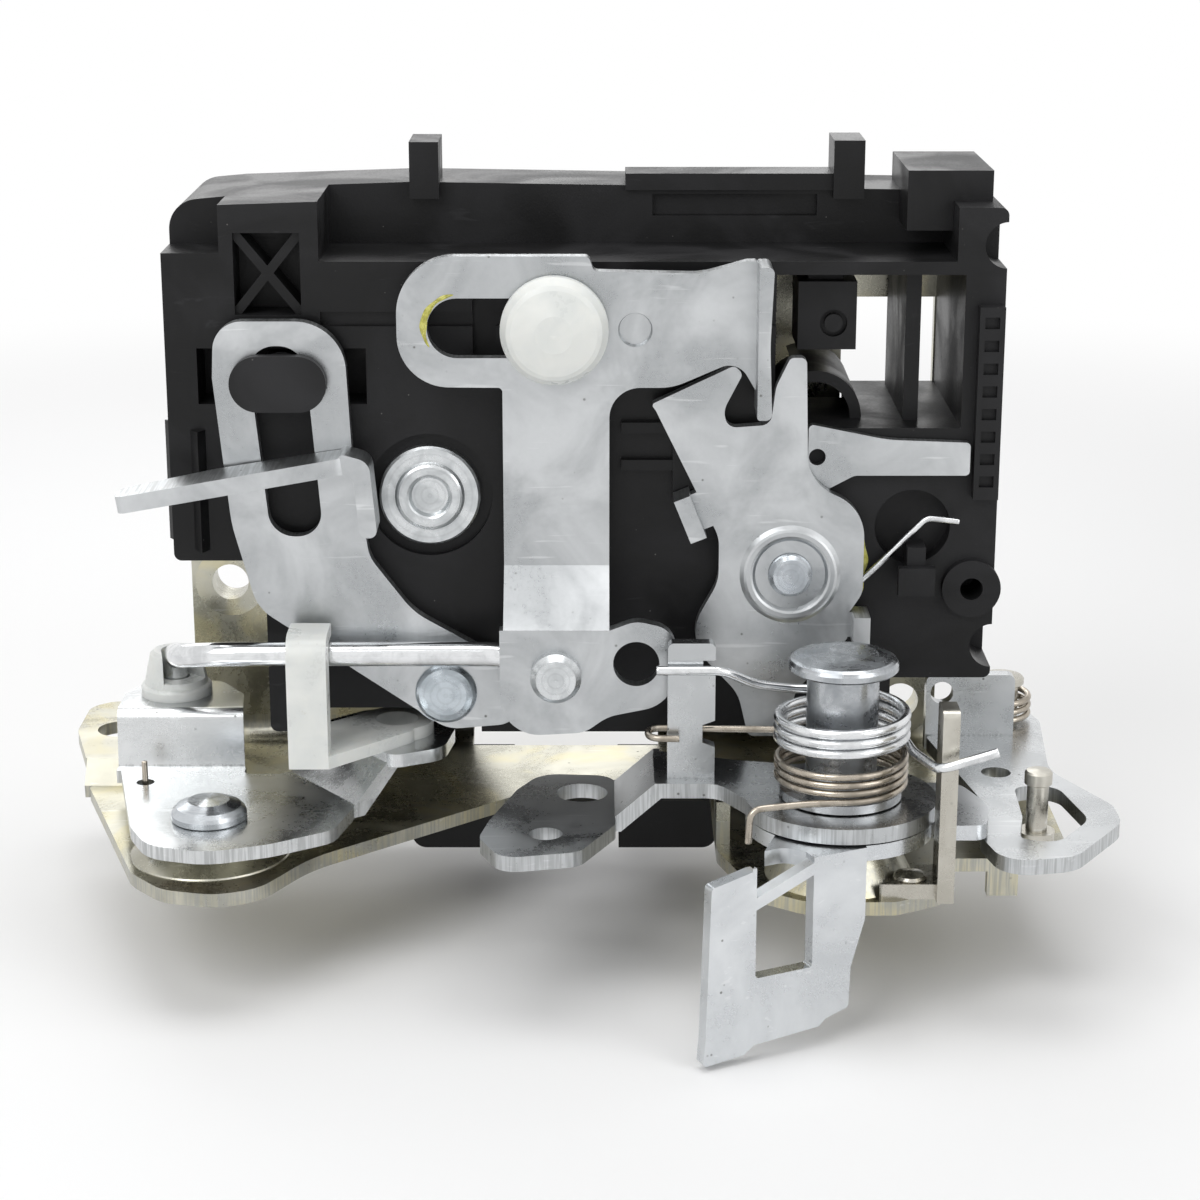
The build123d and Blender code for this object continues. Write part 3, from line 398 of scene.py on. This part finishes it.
def tube(name, path, radius, material, ease=12, sides=20):
    """Round wire P(s, a) = C(s) + w(s) radius (U(s) cos a + V(s) sin a), with C the eased line
    of path, U and V square to it, and w = 1 but for the cut ends, where it falls to 0."""
    line = even(np.asarray(path, float), 0.45 * radius)
    for _ in range(ease):
        line[1:-1] = line[:-2] * 0.25 + line[1:-1] * 0.5 + line[2:] * 0.25
    heading = np.gradient(line, axis=0)
    heading /= np.linalg.norm(heading, axis=1)[:, None]
    cut = 0.12 * radius
    line = np.vstack([line[0], line[0], line[0] + heading[0] * cut, line[1:-1],
                      line[-1] - heading[-1] * cut, line[-1], line[-1]])
    heading = heading[[0, 0] + list(range(len(heading))) + [-1, -1]]
    width = np.ones(len(line))
    width[[0, -1]] = 0.0
    width[[1, -2]] = 0.88
    u = np.cross(heading[0], (0.31, 0.52, 0.79))
    frames = []
    for head in heading:
        u = u - head * (u @ head)
        u /= np.linalg.norm(u)
        frames.append((u, np.cross(head, u)))
    frames = np.array(frames)
    a = np.linspace(0, 2 * math.pi, sides, endpoint=False)
    ring = frames[:, 0, None] * np.cos(a)[:, None] + frames[:, 1, None] * np.sin(a)[:, None]
    grid = line[:, None] + ring * (radius * width)[:, None, None]
    return surface(name, grid, material, closed=True)


def smear(name, x, z, y, r0, r1, a0, a1, swell, material, seed):
    """Grease film on an upright face, r = mid + half s, angle a from a0 to a1,
    height h = swell (1 - s^2) sqrt(sin(pi t)) (1 + 0.3 sin(7 t + seed)), toward the viewer."""
    t = np.linspace(0, 1, 90)[:, None]
    s = np.linspace(-1, 1, 24)[None, :]
    wave = 1 + 0.22 * np.sin(9 * t + seed) + 0.12 * np.sin(23 * t + 2 * seed)
    taper = np.sqrt(np.clip(np.sin(np.pi * t), 0, 1))
    r = (r0 + r1) / 2 + (r1 - r0) / 2 * s * taper * wave
    a = np.radians(a0 + (a1 - a0) * t) + 0 * s
    h = swell * (1 - s ** 2) * taper * (1 + 0.3 * np.sin(17 * t + 5 * s + seed))
    grid = np.stack([x + r * np.cos(a), y - 0.01 - h, z + r * np.sin(a)], -1)
    return surface(name, grid, material)


PIN_X, PIN_Y, _ = PIN
MAIN_COIL, POST_COIL, CRANK_RING, PAWL_RING = 8.1, 3.9, 7.75, 7.6
THICK_WIRE, THIN_WIRE, PAWL_WIRE, CRANK_WIRE, ROD_RADIUS = 0.6, 0.45, 0.42, 0.4, 1.6

line = np.vstack([
    bent([(53.6, -67.2, 22.6), (46.4, -67.2, 20.3), (44.2, -59, 19.7)], 1.4),
    coil(PIN_X, PIN_Y, 19.6, MAIN_COIL, 3.25, 1.3, 0),
    bent([(30.0, -46.5, 23.9), (25.0, -47.4, 24.8), (20.8, -49.4, 27.3), (12.2, -49.4, 27.3)],
         1.4)])
wire = tube("upper_coil", line, THICK_WIRE, looks["bright wire"])
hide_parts("upper_spring")
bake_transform(wire)

line = np.vstack([
    bent([(23.4, -64.4, 9.6), (23.6, -63.9, 13.9), (30.5, -62.8, 14.2)], 1.4),
    coil(PIN_X, PIN_Y, 14.3, MAIN_COIL, 3.5, 1.1, -90),
    bent([(28, -45.95, 18.15), (11.2, -45.5, 18.2), (11.2, -49.6, 18.2), (15.2, -49.7, 18.2)],
         1.7)])
wire = tube("lower_coil", line, THIN_WIRE, looks["bronze wire"])
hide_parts("lower_spring")
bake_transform(wire)

line = np.vstack([
    bent([(58.4, -3.0, 2.1), (58.4, -3.0, 8.2), (58.4, -9.8, 8.2)], 1.2),
    coil(POST[0], POST[1], 8.2, POST_COIL, 3.0, 1.2, 180),
    bent([(58.4, -11.8, 11.8), (57.9, -13.8, 11.8), (55.7, -15.4, 11.8)], 0.7)])
wire = tube("return_coil", line, THIN_WIRE, looks["bronze wire"])
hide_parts("return_spring")
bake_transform(wire)

turn = np.radians(np.linspace(-160, 180, 90))[:, None]
ring = np.hstack([CRANK[0] + CRANK_RING * np.cos(turn), CRANK[1] + CRANK_RING * np.sin(turn),
                  4.1 + 0 * turn])
line = np.vstack([ring, bent([(-54.9, -44.0, 4.1), (-56.5, -33.9, 4.1), (-56.5, -33.9, 9.4)],
                             0.8)])
wire = tube("crank_coil", line, CRANK_WIRE, looks["bronze wire"], 6)
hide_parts("crank_spring")
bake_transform(wire)

turn = np.radians(np.linspace(-7, 313, 90))[:, None]
ring = np.hstack([PAWL[0] + PAWL_RING * np.cos(turn),
                  -32.6 - 0.48 * (turn - turn[0]) / (turn[-1] - turn[0]),
                  PAWL[2] + PAWL_RING * np.sin(turn)])
line = np.vstack([ring, bent([(38.4, -33.15, 33.4), (41.8, -33.35, 36.8), (47.9, -34.0, 43.4),
                              (52.2, -34.0, 42.9)], 0.8)])
wire = tube("pawl_coil", line, PAWL_WIRE, looks["bright wire"], 4)
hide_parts("pawl_spring")
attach(wire, "case")

line = bent([(-54.1, -19, 12.7), (-54.1, -19, 19.9), (-50.6, -36.9, 25.3), (-45.4, -39.6, 26.4),
             (-8.4, -39.6, 26.4), (-0.7, -39.6, 25.1), (-0.7, -45.7, 25.1)], 2.4, 14)
wire = tube("round_rod", line, ROD_RADIUS, looks["rod"], 2, 40)
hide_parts("link_rod")
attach(wire, "rod_body")

grease_look = grease("grease")
film = smear("pawl_grease", 30, 36.2, -32.2, 7.9, 10.6, -38, 42, 0.45, grease_look, 1.0)
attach(film, "case")
film = smear("slot_grease", -13.2, 69.4, -38.2, 3.9, 4.7, 95, 215, 0.16, grease_look, 2.2)
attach(film, "t_body")


# ---- studio --------------------------------------------------------------------------

def emitter(name, place, target, size, power):
    """Rectangular lamp at place that faces target, both in millimetres."""
    light = bpy.data.lights.new(name, "AREA")
    light.shape = "RECTANGLE"
    light.size, light.size_y = size[0] * MM, size[1] * MM
    light.energy = power
    thing = bpy.data.objects.new(name, light)
    bpy.context.scene.collection.objects.link(thing)
    where = np.array(place) * MM
    thing.location = where
    aim = Vector(np.array(target) * MM - where)
    thing.rotation_euler = aim.to_track_quat("-Z", "Y").to_euler()
    return thing


def studio():
    """Pale floor, white surroundings and four soft lamps."""
    half = 3.0
    mesh = bpy.data.meshes.new("floor")
    low = -0.0157
    corners = [(-half, -half, low), (half, -half, low), (half, half, low), (-half, half, low)]
    mesh.from_pydata(corners, [], [(0, 1, 2, 3)])
    floor = bpy.data.objects.new("floor", mesh)
    bpy.context.scene.collection.objects.link(floor)
    g = Look("pale floor")
    tone = g.ramp(g.noise(300.0, 2.0), 0.3, 0.7)
    g.surface(color=g.blend(tone, rgb(0.86, 0.86, 0.86), rgb(0.89, 0.89, 0.89)), rough=0.9)
    px, py, pz = g.parts(g.scaled(1, 1, 1))
    far = g.ramp(g.math("SQRT", px * px + py * py), 210.0, 460.0)
    glow = g.node("ShaderNodeEmission", {0: rgb(1, 1, 1), 1: 1.0})
    both = g.node("ShaderNodeMixShader", {0: far * g.seen(), 1: g.value(g.shader),
                                          2: g.value(glow)})
    g.feed(g.out.inputs[0], g.value(both))
    mesh.materials.append(g.material)
    world = bpy.data.worlds.new("studio")
    bpy.context.scene.world = world
    g = Graph(world)
    up = g.parts(g.value(g.node("ShaderNodeTexCoord"), "Generated"))[2]
    ramp = g.node("ShaderNodeValToRGB", {0: g.ramp(up, -1.0, 1.0, smooth=False)})
    stops = ramp.color_ramp.elements
    stops[0].position, stops[0].color = 0.0, rgb(0.62, 0.62, 0.62)
    stops[1].position, stops[1].color = 1.0, rgb(1.0, 1.0, 1.0)
    for position, tone in ((0.47, 0.42), (0.54, 0.20), (0.60, 0.50), (0.74, 0.95)):
        stops.new(position).color = rgb(tone, tone, tone * 1.01)
    sky = g.node("ShaderNodeBackground", {0: g.value(ramp), 1: 0.50})
    white = g.node("ShaderNodeBackground", {0: rgb(1, 1, 1)})
    both = g.node("ShaderNodeMixShader", {0: g.seen(), 1: g.value(sky), 2: g.value(white)})
    g.node("ShaderNodeOutputWorld", {0: g.value(both)})
    target = (0, -30, 30)
    emitter("key", (-260, -420, 420), target, (320, 320), 1.3)
    emitter("fill", (380, -360, 220), target, (260, 360), 0.6)
    emitter("top", (0, -20, 520), target, (420, 300), 0.95)
    emitter("rim", (-80, 330, 260), (0, -20, 50), (400, 160), 0.5)


studio()
scene = bpy.context.scene
scene.view_settings.view_transform = "Standard"
lens = bpy.data.cameras.new("camera")
lens.lens = 81.0
lens.sensor_width = 36.0
lens.clip_start = 0.01
camera = bpy.data.objects.new("camera", lens)
camera.location = (0.005, -0.3772, 0.1338)
camera.rotation_euler = (math.radians(73.5), 0, 0)
scene.collection.objects.link(camera)
scene.camera = camera
